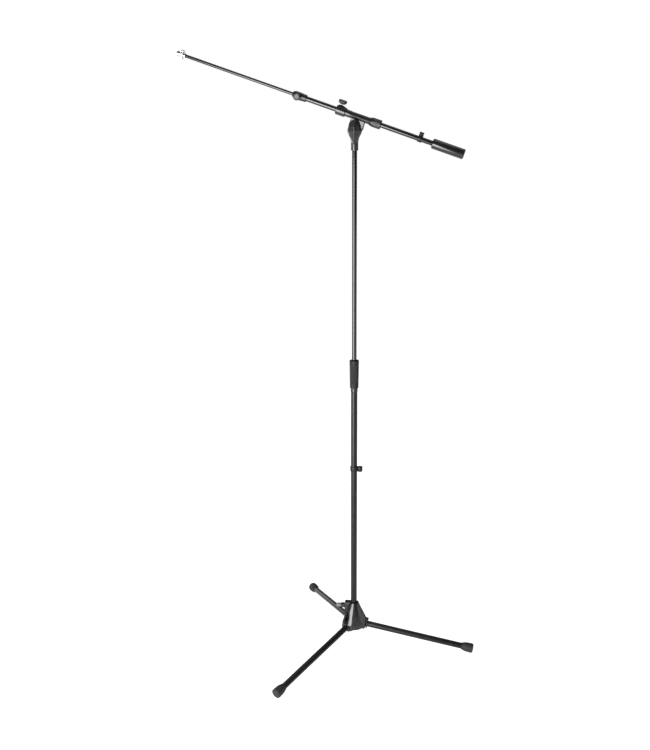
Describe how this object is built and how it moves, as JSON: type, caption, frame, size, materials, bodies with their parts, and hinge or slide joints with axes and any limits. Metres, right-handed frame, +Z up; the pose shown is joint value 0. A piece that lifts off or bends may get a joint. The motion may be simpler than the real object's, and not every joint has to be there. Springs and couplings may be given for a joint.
{
  "type": "boom microphone stand",
  "caption": "Tall microphone stand with a folding cast tripod base, a telescopic clutch mast and a tilting, telescopic boom with a counterweight and a threaded tip.",
  "frame": {"origin": "on the mast axis at floor level, in the plane of the three foot soles", "axes": "+Z up along the mast; +X along the leg that lies under the counterweight; the boom lies in the XZ plane and rises towards -X; the wing knob faces -Y"},
  "size_m": [1.0061, 0.7622, 2.0734],
  "materials": {
    "cast_black": "satin",
    "tube_satin": "satin",
    "tube_gloss": "gloss",
    "rubber_grey": "matte",
    "grip_rubber": "matte",
    "knob_plastic": "matte",
    "lever_plastic": "matte",
    "collar_plastic": "satin",
    "nylon_black": "matte",
    "steel_bright": "brushed",
    "chrome_thread": "polished",
    "weight_black": "satin"
  },
  "bodies": {
    "base": {"base_hub": "cast_black", "leg_pivot_pins": "cast_black", "hub_clamp_shoe": "steel_bright", "lower_tube": "tube_satin", "lower_tube_plug": "nylon_black", "clutch_body": "collar_plastic", "clutch_collet": "nylon_black"},
    "leg_1": {"leg_root_1": "cast_black", "leg_tube_1": "tube_satin", "foot_1": "rubber_grey"},
    "leg_2": {"leg_root_2": "cast_black", "leg_tube_2": "tube_satin", "foot_2": "rubber_grey"},
    "leg_3": {"leg_root_3": "cast_black", "leg_tube_3": "tube_satin", "foot_3": "rubber_grey"},
    "hub_lock": {"hub_lock_screw": "steel_bright", "hub_lock_collar": "nylon_black", "hub_lock_knob": "lever_plastic"},
    "clutch": {"clutch_cone_nut": "nylon_black", "clutch_grip": "grip_rubber"},
    "mast_clip": {"mast_cable_clip": "nylon_black"},
    "mast_bush": {"mast_guide_bush": "nylon_black"},
    "upper_mast": {"upper_tube": "tube_gloss", "upper_tube_end_stop": "nylon_black", "mast_retaining_ring": "steel_bright", "swivel_fork": "cast_black", "swivel_bolt": "steel_bright", "friction_washers": "nylon_black"},
    "wing_knob": {"swivel_knob": "knob_plastic"},
    "tilt_head": {"boom_tee": "cast_black", "front_collar": "cast_black", "rear_collar": "collar_plastic", "boom_lock_shoe": "steel_bright"},
    "boom_lock": {"boom_lock_screw": "steel_bright", "boom_lock_knob": "knob_plastic"},
    "roll_bushes": {"boom_bushes": "nylon_black"},
    "boom": {"boom_tube": "tube_gloss", "boom_end_plug": "nylon_black", "rod_bush": "nylon_black", "rod_clutch_body": "collar_plastic", "rod_lock_shoe": "steel_bright"},
    "rod_lock": {"rod_lock_screw": "steel_bright", "rod_lock_knob": "knob_plastic"},
    "rod_guide": {"rod_guide_bush": "nylon_black"},
    "rod": {"boom_rod": "tube_gloss", "rod_end_stop": "nylon_black", "mic_thread_adapter": "chrome_thread"},
    "thread_ring": {"lock_ring": "chrome_thread"},
    "weight": {"counterweight": "weight_black", "weight_set_screw": "steel_bright"},
    "boom_clip": {"boom_cable_clip": "nylon_black"}
  },
  "joints": [
    {"name": "leg_1_fold", "type": "hinge", "parent": "base", "child": "leg_1", "pos_m": [0.039, 0, 0.101], "axis": [0, -1, 0], "range_deg": [0, 100]},
    {"name": "leg_2_fold", "type": "hinge", "parent": "base", "child": "leg_2", "pos_m": [-0.0195, 0.03377, 0.101], "axis": [0.866, 0.5, 0], "range_deg": [0, 100]},
    {"name": "leg_3_fold", "type": "hinge", "parent": "base", "child": "leg_3", "pos_m": [-0.0195, -0.03377, 0.101], "axis": [-0.866, 0.5, 0], "range_deg": [0, 100]},
    {"name": "hub_lock_turn", "type": "hinge", "parent": "base", "child": "hub_lock", "pos_m": [-0.04, 0, 0.1525], "axis": [-1, 0, 0], "range_deg": [0, 360]},
    {"name": "clutch_twist", "type": "hinge", "parent": "base", "child": "clutch", "pos_m": [0, 0, 1], "axis": [0, 0, 1], "range_deg": [0, 180]},
    {"name": "mast_clip_slide", "type": "slide", "parent": "base", "child": "mast_clip", "axis": [0, 0, 1], "range_m": [-0.48, 0.25]},
    {"name": "mast_slide", "type": "slide", "parent": "base", "child": "mast_bush", "axis": [0, 0, 1], "range_m": [-0.675, 0.11]},
    {"name": "mast_turn", "type": "hinge", "parent": "mast_bush", "child": "upper_mast", "pos_m": [0, 0, 1], "axis": [0, 0, 1], "continuous": true},
    {"name": "wing_knob_turn", "type": "hinge", "parent": "upper_mast", "child": "wing_knob", "pos_m": [0, 0, 1.82], "axis": [0, -1, 0], "range_deg": [0, 360]},
    {"name": "boom_tilt", "type": "hinge", "parent": "upper_mast", "child": "tilt_head", "pos_m": [0, 0, 1.82], "axis": [0, 1, 0], "range_deg": [-109, 70]},
    {"name": "boom_lock_turn", "type": "hinge", "parent": "tilt_head", "child": "boom_lock", "pos_m": [-0.03745, 0, 1.90792], "axis": [0.3277, 0, 0.9448], "range_deg": [0, 360]},
    {"name": "boom_roll", "type": "hinge", "parent": "tilt_head", "child": "roll_bushes", "pos_m": [0, 0, 1.86635], "axis": [-0.9448, 0, 0.3277], "continuous": true},
    {"name": "boom_slide", "type": "slide", "parent": "roll_bushes", "child": "boom", "axis": [-0.9448, 0, 0.3277], "range_m": [-0.095, 0.115]},
    {"name": "rod_lock_turn", "type": "hinge", "parent": "boom", "child": "rod_lock", "pos_m": [-0.18042, -0.0198, 1.92599], "axis": [-0.0456, -0.9903, -0.1315], "range_deg": [0, 360]},
    {"name": "rod_slide", "type": "slide", "parent": "boom", "child": "rod_guide", "axis": [-0.9448, 0, 0.3277], "range_m": [-0.365, 0.09]},
    {"name": "rod_turn", "type": "hinge", "parent": "rod_guide", "child": "rod", "pos_m": [-0.28343, 0, 1.96466], "axis": [-0.9448, 0, 0.3277], "continuous": true},
    {"name": "lock_ring_turn", "type": "hinge", "parent": "rod", "child": "thread_ring", "pos_m": [-0.5527, 0, 2.05806], "axis": [-0.9448, 0, 0.3277], "continuous": true},
    {"name": "counterweight_slide", "type": "slide", "parent": "boom", "child": "weight", "axis": [-0.9448, 0, 0.3277], "range_m": [0, 0.025]},
    {"name": "boom_clip_slide", "type": "slide", "parent": "boom", "child": "boom_clip", "axis": [0.9448, 0, -0.3277], "range_m": [-0.11, 0.005]}
  ]
}
